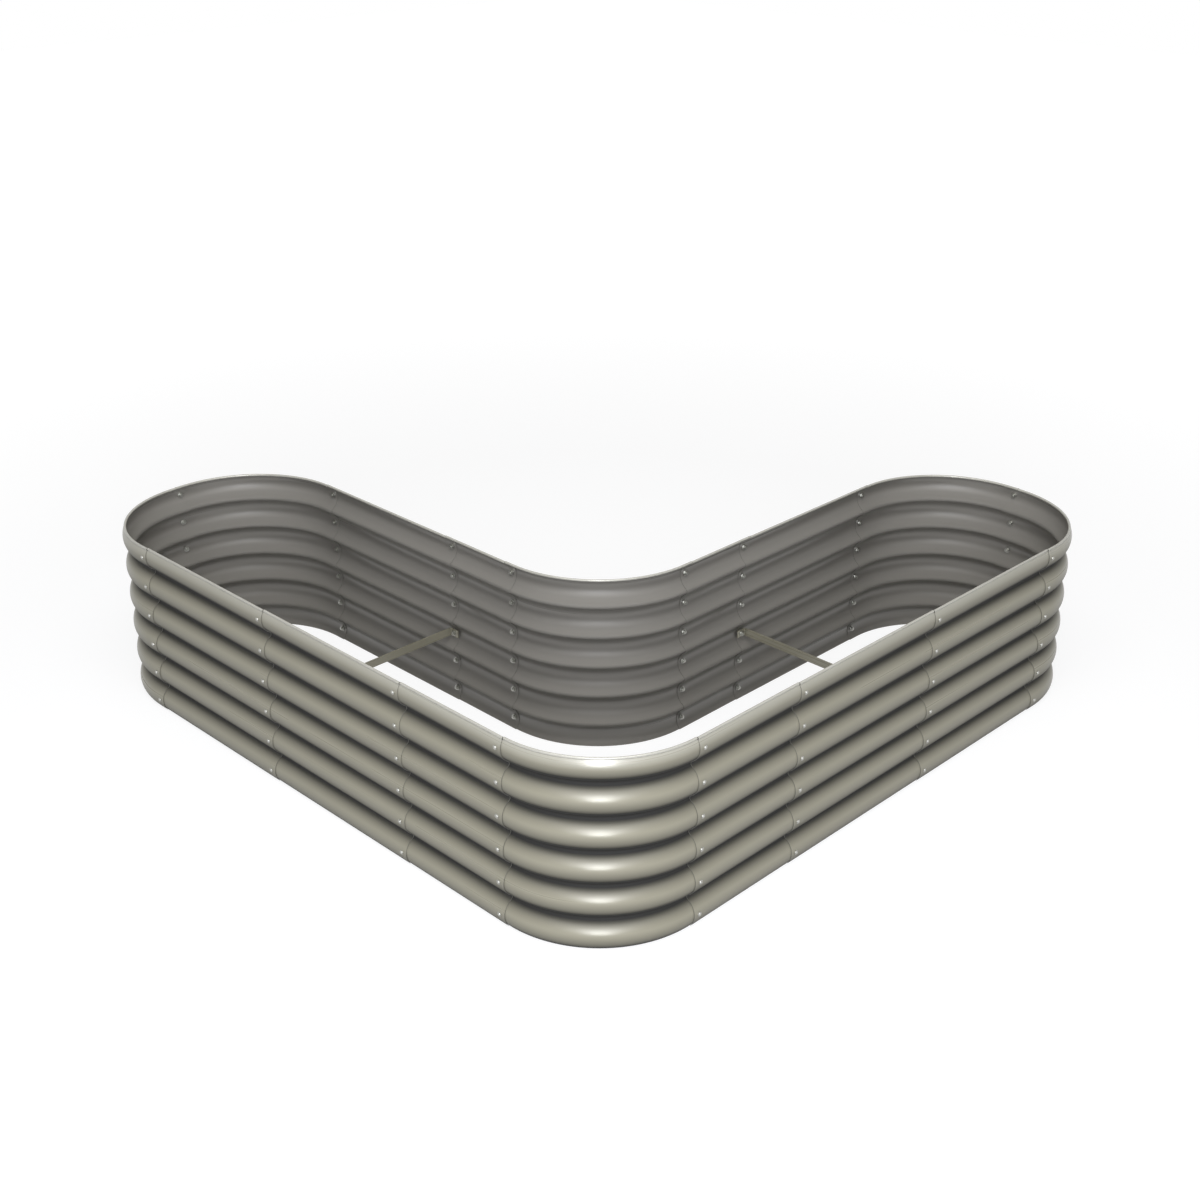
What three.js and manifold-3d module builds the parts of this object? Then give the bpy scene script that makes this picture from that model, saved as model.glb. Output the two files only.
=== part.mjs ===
// Raised garden bed: an L of corrugated steel panels, lapped and bolted, with a cross brace in
// each arm. Millimetres, +Z up, standing on Z = 0. The right arm runs along +X from the front
// corner and the left arm along +Y; the origin is the middle of the square around the L.

import * as THREE from "three";
import { mergeVertices } from "three/addons/utils/BufferGeometryUtils.js";
import Module from "manifold-3d";

const wasm = await Module();
wasm.setup();

// ---- Corrugation ----
const RIB_PITCH = 76.2;
const RIB_COUNT = 6;
const RIB_DEPTH = 22; // crest plane to valley plane, on the outer face
const VALLEY_RADIUS = 6; // outer face of the fillet between two ribs
const EDGE_LAND = 25.4; // from the first and last crest centre to the ground and to the top

// ---- Sheet and laps ----
const SHEET = 0.8;
const LAP_GAP = 0.6; // coating and slack between two nested sheets
const LAP_WIDTH = 30; // overlap of two panels, with its bolts along the middle
const ROLL_RADIUS = 3; // the top edge is rolled into a bead
const ROLL_RELIEF = 0.6; // between a bead and the neighbour's sheet or bead

// ---- Plan ----
const CORNER_RADIUS = 265; // crest plane of every rounded corner
const SHORT_PITCH = 304; // bolt column to bolt column on the short panel
const LONG_PITCH = 465; // the same on the long panels

// ---- Fasteners ----
const SHANK_RADIUS = 3;
const HOLE_RADIUS = 3.4;
const HEAD_RADIUS = 6;
const HEAD_CROWN_RADIUS = 3; // flat top of the domed head
const HEAD_CROWN_BULGE = 0.7; // how far the dome stands out from a plain cone
const HEAD_HEIGHT = 3; // beyond the crest plane
const HEAD_ROOT = 0.4; // how far a fused head reaches into its sheet
const HEAD_SIDES = 6;
const NUT_ACROSS_FLATS = 10;
const NUT_HEIGHT = 5;
const NUT_FLANGE_RADIUS = 7;
const NUT_FLANGE = 1.2;
const THREAD_END = 2.5; // shank showing beyond the nut
const CLEARANCE = 0.3; // between pieces that bear on each other

// ---- Cross brace ----
const BRACE_RIB = 2; // the brace bolts to this rib, counted from the ground
const BRACE_HEIGHT = 20;
const BRACE_THICKNESS = 3;
const BRACE_TAB = 28; // length of the bent end that lies on the wall
const BRACE_BEND = 2; // inside radius of the bend

// ---- Smoothness ----
const CORNER_STEPS = 6;
const CREST_STEPS = 5; // odd, so that the middle facet stands upright under the bolts
const ROLL_SIDES = 8;
const ROUND_SIDES = 12;

// ---- Derived sizes ----
const HALF_PITCH = RIB_PITCH / 2;
const FLANK_ANGLE = 2 * Math.atan(RIB_DEPTH / HALF_PITCH); // where crest and valley arcs meet
const CREST_RADIUS = HALF_PITCH / Math.sin(FLANK_ANGLE) - VALLEY_RADIUS;
const WALL_HEIGHT = 2 * EDGE_LAND + (RIB_COUNT - 1) * RIB_PITCH;
const SHEET_TOP = WALL_HEIGHT - ROLL_RADIUS; // the sheet runs up to the middle of its bead
const LAP_STEP = SHEET + LAP_GAP; // how far the inner sheet of a lap sits inside the outer
const CORNER_REACH = CORNER_RADIUS + LAP_WIDTH / 2; // bolt column to the square corner
const ARM_LENGTH = 2 * CORNER_REACH + SHORT_PITCH + 2 * LONG_PITCH;
const ARM_WIDTH = 2 * CORNER_REACH; // the end of an arm is two corner panels, back to back
const BRACE_COLUMN = CORNER_REACH + SHORT_PITCH + LONG_PITCH;
const INNER_COLUMN = ARM_WIDTH + CORNER_REACH; // seam of the concave corner panel
const BRACE_LEVEL = crestHeight(BRACE_RIB);
const TAB_SEAT = depthAt(LAP_STEP + SHEET, BRACE_LEVEL + BRACE_HEIGHT / 2) + CLEARANCE;
const NUT_SEAT = TAB_SEAT + BRACE_THICKNESS + CLEARANCE;

// ---- Finishes ----
const COATED_STEEL = new THREE.MeshStandardMaterial({
  color: 0x96948a,
  roughness: 0.42,
  metalness: 0.35,
});
const ZINC_STEEL = new THREE.MeshStandardMaterial({
  color: 0xb4b4ae,
  roughness: 0.35,
  metalness: 0.9,
});

/** Height of a rib's crest centre above the ground, ribs counted from 0. */
function crestHeight(rib) {
  return EDGE_LAND + rib * RIB_PITCH;
}

/**
 * The corrugated line of a face that lies `inset` inside the crest plane, from the bottom edge
 * to the top: [inward distance from the crest plane, height]. Crests turn about centres inside
 * the wall and valleys about centres outside it, so an inset shrinks one and grows the other.
 */
function faceLine(inset) {
  const crest = CREST_RADIUS - inset;
  const valley = VALLEY_RADIUS + inset;
  const bottomAngle = -Math.asin(EDGE_LAND / crest);
  const topAngle = Math.asin((EDGE_LAND - ROLL_RADIUS) / crest);
  const line = [];
  for (let rib = 0; rib < RIB_COUNT; rib += 1) {
    const lowest = rib === 0 ? bottomAngle : -FLANK_ANGLE;
    const highest = rib === RIB_COUNT - 1 ? topAngle : FLANK_ANGLE;
    for (const angle of crestAngles(lowest, highest)) {
      line.push([
        CREST_RADIUS - crest * Math.cos(angle),
        crestHeight(rib) + crest * Math.sin(angle),
      ]);
    }
    if (rib < RIB_COUNT - 1) {
      line.push([RIB_DEPTH - VALLEY_RADIUS + valley, crestHeight(rib) + HALF_PITCH]);
    }
  }
  return line;
}

/** Angles around one crest; a rib cut by the edge of the sheet has one facet less there. */
function crestAngles(lowest, highest) {
  const step = (2 * FLANK_ANGLE) / CREST_STEPS;
  const inner = [];
  for (let i = 1; i < CREST_STEPS; i += 1) {
    inner.push(-FLANK_ANGLE + i * step);
  }
  const spare = step / 2;
  return [lowest, ...inner.filter((a) => a > lowest + spare && a < highest - spare), highest];
}

/** Inward distance of a face line at a height. */
function depthAt(inset, height) {
  const line = faceLine(inset);
  const next = Math.max(line.findIndex(([, z]) => z >= height - 1e-6), 1);
  const [d0, z0] = line[next - 1];
  const [d1, z1] = line[next];
  return d0 + ((d1 - d0) * (height - z0)) / (z1 - z0);
}

/** Closed section of the sheet: up the outer face and down the inner one. */
function sheetSection(inset) {
  return [...faceLine(inset), ...faceLine(inset + SHEET).reverse()];
}

/** Closed section of the bead rolled around the top edge of the sheet. */
function rollSection(inset) {
  const centre = depthAt(inset + SHEET / 2, SHEET_TOP);
  return Array.from({ length: ROLL_SIDES }, (_, i) => {
    const angle = (2 * Math.PI * i) / ROLL_SIDES;
    return [centre + ROLL_RADIUS * Math.sin(angle), SHEET_TOP + ROLL_RADIUS * Math.cos(angle)];
  });
}

/** Section of the cut that keeps an inner sheet below the bead of the sheet outside it. */
function notchSection() {
  const foot = WALL_HEIGHT - 2 * ROLL_RADIUS - ROLL_RELIEF;
  return [
    [-RIB_DEPTH, foot],
    [-RIB_DEPTH, WALL_HEIGHT],
    [2 * RIB_DEPTH, WALL_HEIGHT],
    [2 * RIB_DEPTH, foot],
  ];
}

/** A place on the crest line in plan, with the direction into the soil. */
function stop(x, y, nx, ny) {
  return { x, y, nx, ny };
}

/**
 * Stops along a rounded corner and the flat lap at each of its ends. `side` is -1 where the
 * soil lies towards the centre of the round, else 1.
 */
function corner(cx, cy, from, to, side) {
  const onArc = (angle, lead) => {
    const c = Math.cos(angle);
    const s = Math.sin(angle);
    const ahead = Math.sign(to - from) * lead;
    const x = cx + CORNER_RADIUS * c - ahead * s;
    const y = cy + CORNER_RADIUS * s + ahead * c;
    return stop(x, y, side * c, side * s);
  };
  const arc = Array.from({ length: CORNER_STEPS + 1 }, (_, i) =>
    onArc(from + ((to - from) * i) / CORNER_STEPS, 0),
  );
  return [onArc(from, -LAP_WIDTH), ...arc, onArc(to, LAP_WIDTH)];
}

/** Stops of a flat panel between two bolt columns of a wall that runs along X. */
function straight(x0, x1, y, ny) {
  const lead = Math.sign(x1 - x0) * (LAP_WIDTH / 2);
  return [stop(x0 - lead, y, 0, ny), stop(x1 + lead, y, 0, ny)];
}

/** Distance along the crest line to each stop. */
function lengths(stops) {
  const along = [0];
  for (let i = 1; i < stops.length; i += 1) {
    const step = Math.hypot(stops[i].x - stops[i - 1].x, stops[i].y - stops[i - 1].y);
    along.push(along[i - 1] + step);
  }
  return along;
}

/** Gives every stop its inset, which changes evenly from one end of the panel to the other. */
function withInset(stops, first, last) {
  const along = lengths(stops);
  const total = along[along.length - 1];
  return stops.map((s, i) => ({ ...s, inset: first + ((last - first) * along[i]) / total }));
}

/** The stop at a distance along the crest line. */
function stopAt(stops, distance) {
  const along = lengths(stops);
  const found = along.findIndex((a) => a >= distance);
  const next = found < 0 ? stops.length - 1 : Math.max(found, 1);
  const a = stops[next - 1];
  const b = stops[next];
  const t = (distance - along[next - 1]) / (along[next] - along[next - 1]);
  const mix = (key) => a[key] + (b[key] - a[key]) * t;
  return { x: mix("x"), y: mix("y"), nx: mix("nx"), ny: mix("ny"), inset: mix("inset") };
}

/** The part of a path between two distances; either may lie a little beyond its end. */
function between(stops, from, to) {
  const along = lengths(stops);
  const inside = stops.filter((_, i) => along[i] > from + 1 && along[i] < to - 1);
  return [stopAt(stops, from), ...inside, stopAt(stops, to)];
}

/** Turns a point of the panel's section at a stop into space. */
function place(s, [depth, height]) {
  return [s.x + s.nx * depth, s.y + s.ny * depth, height];
}

/** Skins a section along stops and closes both ends. */
function loft(stops, section) {
  const rings = stops.map((s) => section(s.inset).map((point) => place(s, point)));
  const count = rings[0].length;
  const index = [];
  for (let r = 0; r < rings.length - 1; r += 1) {
    for (let i = 0; i < count; i += 1) {
      const a = r * count + i;
      const b = r * count + ((i + 1) % count);
      index.push(a, b, b + count, a, b + count, a + count);
    }
  }
  for (const [ring, order] of [
    [0, [0, 1, 2]],
    [rings.length - 1, [0, 2, 1]],
  ]) {
    const outline = section(stops[ring].inset).map(([d, z]) => new THREE.Vector2(d, z));
    for (const face of THREE.ShapeUtils.triangulateShape(outline, [])) {
      index.push(...order.map((k) => face[k] + ring * count));
    }
  }
  const geometry = new THREE.BufferGeometry();
  geometry.setAttribute("position", new THREE.Float32BufferAttribute(rings.flat(2), 3));
  return geometry.setIndex(index);
}

/** Volume inside closed faces, negative if they look inwards. */
function signedVolume(position, index) {
  const [a, b, c] = [new THREE.Vector3(), new THREE.Vector3(), new THREE.Vector3()];
  let volume = 0;
  for (let i = 0; i < index.length; i += 3) {
    a.fromBufferAttribute(position, index[i]);
    b.fromBufferAttribute(position, index[i + 1]);
    c.fromBufferAttribute(position, index[i + 2]);
    volume += a.dot(b.cross(c)) / 6;
  }
  return volume;
}

/** A closed geometry as a solid that can be joined and cut, its faces looking outwards. */
function solid(geometry) {
  const bare = geometry.clone();
  bare.deleteAttribute("normal");
  bare.deleteAttribute("uv");
  const welded = mergeVertices(bare, 1e-4);
  const position = welded.getAttribute("position");
  const corners = [...welded.getIndex().array];
  const faces = [];
  for (let i = 0; i < corners.length; i += 3) {
    const face = corners.slice(i, i + 3);
    if (new Set(face).size === 3) {
      faces.push(...face);
    }
  }
  if (signedVolume(position, faces) < 0) {
    faces.reverse();
  }
  return new wasm.Manifold(
    new wasm.Mesh({
      numProp: 3,
      vertProperties: Float32Array.from(position.array),
      triVerts: Uint32Array.from(faces),
    }),
  );
}

/** The named mesh of a solid. */
function piece(name, body, material) {
  const { vertProperties, triVerts } = body.getMesh();
  const geometry = new THREE.BufferGeometry();
  geometry.setAttribute("position", new THREE.Float32BufferAttribute(vertProperties, 3));
  geometry.setIndex([...triVerts]);
  const mesh = new THREE.Mesh(geometry, material);
  mesh.name = name;
  return mesh;
}

/** The piece of the left arm that answers to one of the right: X and Y change places. */
function reflected(mesh, name) {
  const geometry = mesh.geometry.clone();
  const position = geometry.getAttribute("position");
  for (let i = 0; i < position.count; i += 1) {
    position.setXY(i, position.getY(i), position.getX(i));
  }
  geometry.setIndex([...geometry.getIndex().array].reverse());
  const twin = new THREE.Mesh(geometry, mesh.material);
  twin.name = name;
  return twin;
}

/** A round or many-sided rod along +Y between two depths, with a radius at each end. */
function rod(from, to, startRadius, endRadius, sides) {
  const geometry = new THREE.CylinderGeometry(endRadius, startRadius, to - from, sides);
  return geometry.translate(0, (from + to) / 2, 0);
}

/** Turns a geometry whose +Y leads into the wall to a stop and a height. */
function aimed(geometry, s, height) {
  const inward = new THREE.Vector3(s.nx, s.ny, 0).normalize();
  const turned = new THREE.Quaternion().setFromUnitVectors(new THREE.Vector3(0, 1, 0), inward);
  return solid(geometry.clone().applyQuaternion(turned).translate(s.x, s.y, height));
}

/** Head of a seam bolt, fused to the outer sheet of its lap. */
function seamHead(s, height) {
  const root = depthAt(s.inset, height) + HEAD_ROOT;
  const head = rod(-HEAD_HEIGHT, root, HEAD_CROWN_RADIUS, HEAD_RADIUS, HEAD_SIDES);
  return aimed(head, s, height);
}

/** Drill for a brace bolt, through both sheets and the brace's tab. */
function braceDrill(s) {
  const drill = rod(-HEAD_HEIGHT, TAB_SEAT + 2 * BRACE_THICKNESS, HOLE_RADIUS, HOLE_RADIUS,
    ROUND_SIDES);
  return aimed(drill, s, BRACE_LEVEL);
}

/**
 * One corrugated panel, its inset changing evenly along it from `first` to `last`. An end
 * without inset is the outer sheet of its lap and carries the bolt heads. An end that slides
 * inside its neighbour is notched under the neighbour's bead, and its own bead stops short.
 * `braceEnd` names the end whose lap also holds the cross brace, where a hole takes the place
 * of one head.
 */
function panel(name, path, first, last, braceEnd) {
  const stops = withInset(path, first, last);
  const total = lengths(stops).at(-1);
  const columns = { start: LAP_WIDTH / 2, end: total - LAP_WIDTH / 2 };
  const isOuter = { start: first === 0, end: last === 0 };
  const relief = LAP_WIDTH + ROLL_RELIEF;
  const rollStart = isOuter.start ? 0 : relief;
  const rollEnd = total - (isOuter.end ? 0 : relief);
  let body = solid(loft(stops, sheetSection));
  if (!isOuter.start) {
    body = body.subtract(solid(loft(between(stops, -1, relief), notchSection)));
  }
  if (!isOuter.end) {
    body = body.subtract(solid(loft(between(stops, rollEnd, total + 1), notchSection)));
  }
  body = body.add(solid(loft(between(stops, rollStart, rollEnd), rollSection)));
  for (const end of ["start", "end"].filter((e) => isOuter[e])) {
    for (let rib = 0; rib < RIB_COUNT; rib += 1) {
      if (end !== braceEnd || rib !== BRACE_RIB) {
        body = body.add(seamHead(stopAt(stops, columns[end]), crestHeight(rib)));
      }
    }
  }
  if (braceEnd) {
    body = body.subtract(braceDrill(stopAt(stops, columns[braceEnd])));
  }
  return piece(name, body, COATED_STEEL);
}

/** Domed bolt that holds a tab of the brace; the shank passes both sheets and the tab. */
function braceBolt(name, s) {
  const seat = depthAt(0, BRACE_LEVEL) - CLEARANCE;
  const shoulder = (HEAD_CROWN_RADIUS + HEAD_RADIUS) / 2;
  const tip = NUT_SEAT + NUT_HEIGHT + THREAD_END;
  const profile = new THREE.Path();
  profile.moveTo(0, -HEAD_HEIGHT);
  profile.lineTo(HEAD_CROWN_RADIUS, -HEAD_HEIGHT);
  profile.lineTo(shoulder + HEAD_CROWN_BULGE, (seat - HEAD_HEIGHT) / 2);
  profile.lineTo(HEAD_RADIUS, seat);
  profile.lineTo(SHANK_RADIUS, seat);
  profile.lineTo(SHANK_RADIUS, tip);
  profile.lineTo(0, tip);
  const bolt = new THREE.LatheGeometry(profile.getPoints(), ROUND_SIDES);
  return piece(name, aimed(bolt, s, BRACE_LEVEL), ZINC_STEEL);
}

/** Hexagon nut with a round flange, on the soil side of the tab. */
function braceNut(name, s) {
  const corners = NUT_ACROSS_FLATS / 2 / Math.cos(Math.PI / 6);
  const far = NUT_SEAT + NUT_HEIGHT;
  const hexagon = aimed(rod(NUT_SEAT, far, corners, corners, 6), s, BRACE_LEVEL);
  const flange = rod(NUT_SEAT, NUT_SEAT + NUT_FLANGE, NUT_FLANGE_RADIUS, NUT_FLANGE_RADIUS,
    ROUND_SIDES);
  const bore = rod(NUT_SEAT - 1, far + 1, HOLE_RADIUS, HOLE_RADIUS, ROUND_SIDES);
  const body = hexagon.add(aimed(flange, s, BRACE_LEVEL)).subtract(aimed(bore, s, BRACE_LEVEL));
  return piece(name, body, ZINC_STEEL);
}

/** Flat bar across the arm, set on edge, with both ends bent to lie on the walls. */
function crossBrace(name, nearStop, farStop) {
  const near = TAB_SEAT;
  const far = ARM_WIDTH - TAB_SEAT;
  const tabEnd = BRACE_COLUMN - BRACE_TAB / 2;
  const outerBend = BRACE_BEND + BRACE_THICKNESS;
  const bendX = BRACE_COLUMN + BRACE_TAB / 2 - outerBend;
  const quarter = Math.PI / 2;
  const plan = new THREE.Shape();
  plan.moveTo(tabEnd, near);
  plan.absarc(bendX, near + outerBend, outerBend, -quarter, 0, false);
  plan.absarc(bendX, far - outerBend, outerBend, 0, quarter, false);
  plan.lineTo(tabEnd, far);
  plan.lineTo(tabEnd, far - BRACE_THICKNESS);
  plan.absarc(bendX, far - outerBend, BRACE_BEND, quarter, 0, true);
  plan.absarc(bendX, near + outerBend, BRACE_BEND, 0, -quarter, true);
  plan.lineTo(tabEnd, near + BRACE_THICKNESS);
  const bar = new THREE.ExtrudeGeometry(plan, {
    depth: BRACE_HEIGHT,
    bevelEnabled: false,
    curveSegments: 2,
  });
  bar.translate(0, 0, BRACE_LEVEL - BRACE_HEIGHT / 2);
  const body = solid(bar).subtract(braceDrill(nearStop)).subtract(braceDrill(farStop));
  return piece(name, body, COATED_STEEL);
}

/** Panels of the right arm, from the front corner out to the end and back along the rear. */
function armPanels() {
  const endX = ARM_LENGTH - CORNER_RADIUS;
  const lastColumn = ARM_LENGTH - CORNER_REACH;
  const firstLong = CORNER_REACH + SHORT_PITCH;
  const quarter = Math.PI / 2;
  const frontTurn = corner(endX, CORNER_RADIUS, -quarter, 0, -1);
  const rearTurn = corner(endX, ARM_WIDTH - CORNER_RADIUS, 0, quarter, -1);
  const chain = [
    ["outer_short_panel", straight(CORNER_REACH, firstLong, 0, 1)],
    ["outer_long_panel_1", straight(firstLong, BRACE_COLUMN, 0, 1), "end"],
    ["outer_long_panel_2", straight(BRACE_COLUMN, lastColumn, 0, 1), "start"],
    ["end_corner_front", frontTurn],
    ["end_corner_rear", rearTurn],
    ["rear_long_panel", straight(lastColumn, BRACE_COLUMN, ARM_WIDTH, -1), "end"],
    ["rear_filler_panel", straight(BRACE_COLUMN, INNER_COLUMN, ARM_WIDTH, -1), "start"],
  ];
  return chain.map(([name, path, braceEnd]) => panel(name, path, 0, LAP_STEP, braceEnd));
}

/** Cross brace of the right arm with its bolts and nuts. */
function armBrace() {
  const near = stop(BRACE_COLUMN, 0, 0, 1);
  const far = stop(BRACE_COLUMN, ARM_WIDTH, 0, -1);
  return [
    crossBrace("cross_brace", near, far),
    braceBolt("brace_bolt_front", near),
    braceBolt("brace_bolt_rear", far),
    braceNut("brace_nut_front", near),
    braceNut("brace_nut_rear", far),
  ];
}

/** Panels shared by the arms: the convex front corner and the concave corner behind it. */
function sharedCorners() {
  const inner = ARM_WIDTH + CORNER_RADIUS;
  const frontTurn = corner(CORNER_RADIUS, CORNER_RADIUS, Math.PI, 1.5 * Math.PI, -1);
  const innerTurn = corner(inner, inner, -Math.PI / 2, -Math.PI, 1);
  return [
    panel("front_corner_panel", frontTurn, LAP_STEP, LAP_STEP),
    panel("inner_corner_panel", innerTurn, 0, 0),
  ];
}

const frontCornerAtOrigin = new THREE.Group();
frontCornerAtOrigin.position.set(-ARM_LENGTH / 2, -ARM_LENGTH / 2, 0);
frontCornerAtOrigin.add(...sharedCorners());
for (const mesh of [...armPanels(), ...armBrace()]) {
  frontCornerAtOrigin.add(reflected(mesh, `left_${mesh.name}`));
  mesh.name = `right_${mesh.name}`;
  frontCornerAtOrigin.add(mesh);
}

const raisedGardenBed = new THREE.Group();
raisedGardenBed.name = "raised_garden_bed";
raisedGardenBed.add(frontCornerAtOrigin);

export default raisedGardenBed;
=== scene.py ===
"""Dressed scene of an L-shaped raised garden bed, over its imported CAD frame.

Lengths are metres in the CAD frame: +Z up from the ground, the right arm along +X, the left
arm along +Y, and the origin at the middle of the square around the L.
"""

import logging
import math
from dataclasses import dataclass, field, fields
from enum import Enum
from typing import Any

import bmesh
import bpy
from mathutils import Matrix, Vector

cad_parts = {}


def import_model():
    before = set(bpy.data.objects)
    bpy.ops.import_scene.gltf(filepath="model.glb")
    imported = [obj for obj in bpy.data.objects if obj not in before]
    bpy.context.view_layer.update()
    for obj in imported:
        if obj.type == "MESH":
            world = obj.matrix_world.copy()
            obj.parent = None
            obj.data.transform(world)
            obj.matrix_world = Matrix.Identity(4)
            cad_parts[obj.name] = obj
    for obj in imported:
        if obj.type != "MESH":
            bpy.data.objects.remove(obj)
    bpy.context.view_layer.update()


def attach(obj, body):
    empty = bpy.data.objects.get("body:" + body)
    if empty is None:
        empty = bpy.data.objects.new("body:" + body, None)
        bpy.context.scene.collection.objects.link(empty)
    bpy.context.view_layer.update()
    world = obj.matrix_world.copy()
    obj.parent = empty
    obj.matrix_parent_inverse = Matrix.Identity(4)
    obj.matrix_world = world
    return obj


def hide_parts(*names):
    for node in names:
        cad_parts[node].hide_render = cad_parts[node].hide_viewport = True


log = logging.getLogger("garden_bed")

MM = 0.001
ROOT_BODY = "root"
WHITE = (1, 1, 1, 1)

ATTRIBUTE = "GeometryNodeInputNamedAttribute"
BUMP = "ShaderNodeBump"
MAP_RANGE = "ShaderNodeMapRange"
MATH = "ShaderNodeMath"
NOISE = "ShaderNodeTexNoise"
TRANSFORM = "GeometryNodeTransform"
VECTOR_MATH = "ShaderNodeVectorMath"
XYZ = "ShaderNodeCombineXYZ"

# Points of a section in order. Each has its inset from the outer face, its offset off the sheet,
# its height, and the height on the sheet whose rib depth it takes.
Section = list[tuple[float, float, float, float]]


class Slot(Enum):
    """Material slots of the record."""

    COATED = "coated_steel"
    ZINC = "zinc_steel"


class Arm(Enum):
    """The two arms of the L."""

    RIGHT = "right"
    LEFT = "left"


class Lap(Enum):
    """Which sheet a panel is where it meets its neighbour."""

    OUTER = "outer"
    INNER = "inner"


# ---------------------------------------------------------------- node helpers


@dataclass
class NodeGraph:
    """A shader or geometry tree that nodes are added to."""

    tree: bpy.types.NodeTree

    def add(self, kind: str, inputs: Any = (), output: str = "", **settings: Any) -> Any:
        """Adds a node with its settings and links.

        Args:
            kind: Blender's type name of the node.
            inputs: Values and output sockets, in order, or in a dict by input name.
            output: Name of the output that is wanted, if it isn't the first.
            **settings: Properties of the node, set before its inputs.

        Returns:
            The output socket, or None from a node that has none.
        """
        node = self.tree.nodes.new(kind)
        for key, value in settings.items():
            setattr(node, key, value)
        for key, value in inputs.items() if isinstance(inputs, dict) else enumerate(inputs):
            self.feed(node.inputs[key], value)
        shown = {socket.name: socket for socket in node.outputs if socket.enabled}
        return shown[output] if output else next(iter(shown.values()), None)

    def feed(self, socket: bpy.types.NodeSocket, value: Any) -> None:
        """Links output sockets to an input, or sets the input to a plain value.

        Args:
            socket: The input.
            value: An output socket, a list of them for an input that takes several, or a value.
        """
        for source in value if isinstance(value, list) else [value]:
            if isinstance(source, bpy.types.NodeSocket):
                self.tree.links.new(source, socket)
            else:
                socket.default_value = source


@dataclass
class GeometryTree(NodeGraph):
    """A Geometry Nodes tree with named inputs, ended by Realize Instances and Set Material."""

    source: bpy.types.Node | None = None

    @classmethod
    def create(cls, name: str, sizes: dict[str, float]) -> "GeometryTree":
        """Starts a tree.

        Args:
            name: Name of the tree.
            sizes: Named inputs and their defaults in metres.

        Returns:
            The tree, with its group input in `source`.
        """
        tree = bpy.data.node_groups.new(name, "GeometryNodeTree")
        tree.interface.new_socket("Geometry", in_out="INPUT", socket_type="NodeSocketGeometry")
        for label, default in sizes.items():
            socket = tree.interface.new_socket(label, in_out="INPUT", socket_type="NodeSocketFloat")
            socket.default_value = default
        tree.interface.new_socket("Material", in_out="INPUT", socket_type="NodeSocketMaterial")
        tree.interface.new_socket("Geometry", in_out="OUTPUT", socket_type="NodeSocketGeometry")
        made = cls(tree)
        made.source = made.add("NodeGroupInput").node
        return made

    def given(self, name: str) -> bpy.types.NodeSocket:
        """The group input of that name."""
        return self.source.outputs[name]

    def finish(self, geometry: bpy.types.NodeSocket) -> None:
        """Ends the tree.

        Args:
            geometry: What the tree has made.
        """
        real = self.add("GeometryNodeRealizeInstances", (geometry,))
        dress = {"Geometry": real, "Material": self.given("Material")}
        self.add("NodeGroupOutput", {"Geometry": self.add("GeometryNodeSetMaterial", dress)})

    def run(
        self, blank: bpy.types.Object, sizes: dict[str, float], material: bpy.types.Material
    ) -> bpy.types.Object:
        """Runs the tree on an object and keeps the result as a plain mesh.

        Args:
            blank: The object that the tree starts from; its mesh is replaced.
            sizes: Values of named inputs that differ from their defaults.
            material: The finish.

        Returns:
            The same object with its finished mesh and no modifier.
        """
        modifier = blank.modifiers.new(self.tree.name, "NODES")
        modifier.node_group = self.tree
        values = {**sizes, "Material": material}
        for item in self.tree.interface.items_tree:
            if item.in_out == "INPUT" and item.name in values:
                modifier[item.identifier] = values[item.name]
        graph = bpy.context.evaluated_depsgraph_get()
        mesh = bpy.data.meshes.new_from_object(blank.evaluated_get(graph))
        blank.modifiers.clear()
        blank.data = mesh
        return blank


def linear(srgb_hex: str) -> tuple[float, ...]:
    """Turns an sRGB colour into Blender's linear RGBA.

    Args:
        srgb_hex: Six hexadecimal digits.

    Returns:
        Linear red, green, blue and an alpha of 1.
    """
    channels = [int(srgb_hex[i : i + 2], 16) / 255 for i in (0, 2, 4)]
    return (*[c / 12.92 if c <= 0.04045 else ((c + 0.055) / 1.055) ** 2.4 for c in channels], 1.0)


def per_metre(feature_mm: float) -> float:
    """Scale of a noise whose features are about this many millimetres across."""
    return 1.0 / (feature_mm * MM)


def add_object(name: str, mesh: bpy.types.Mesh) -> bpy.types.Object:
    """Puts a mesh into the scene as an object at the origin.

    Args:
        name: Name of the piece.
        mesh: Its mesh, in place.

    Returns:
        The new object.
    """
    piece = bpy.data.objects.new(name, mesh)
    bpy.context.scene.collection.objects.link(piece)
    return piece


def hand_over(piece: bpy.types.Object, slot: Slot, crease: float, *nodes: str) -> bpy.types.Object:
    """Shades a finished piece and ties it to the frame.

    Args:
        piece: The piece.
        slot: The record's slot for its finish. Not used.
        crease: Angle past which its edges stay sharp.
        *nodes: CAD nodes that it stands for.

    Returns:
        The same piece.
    """
    piece.data.shade_smooth()
    piece.data.set_sharp_from_angle(angle=crease)
    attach(piece, ROOT_BODY)
    if nodes:
        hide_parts(*nodes)
    return piece


# ---------------------------------------------------------------- finishes


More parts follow.
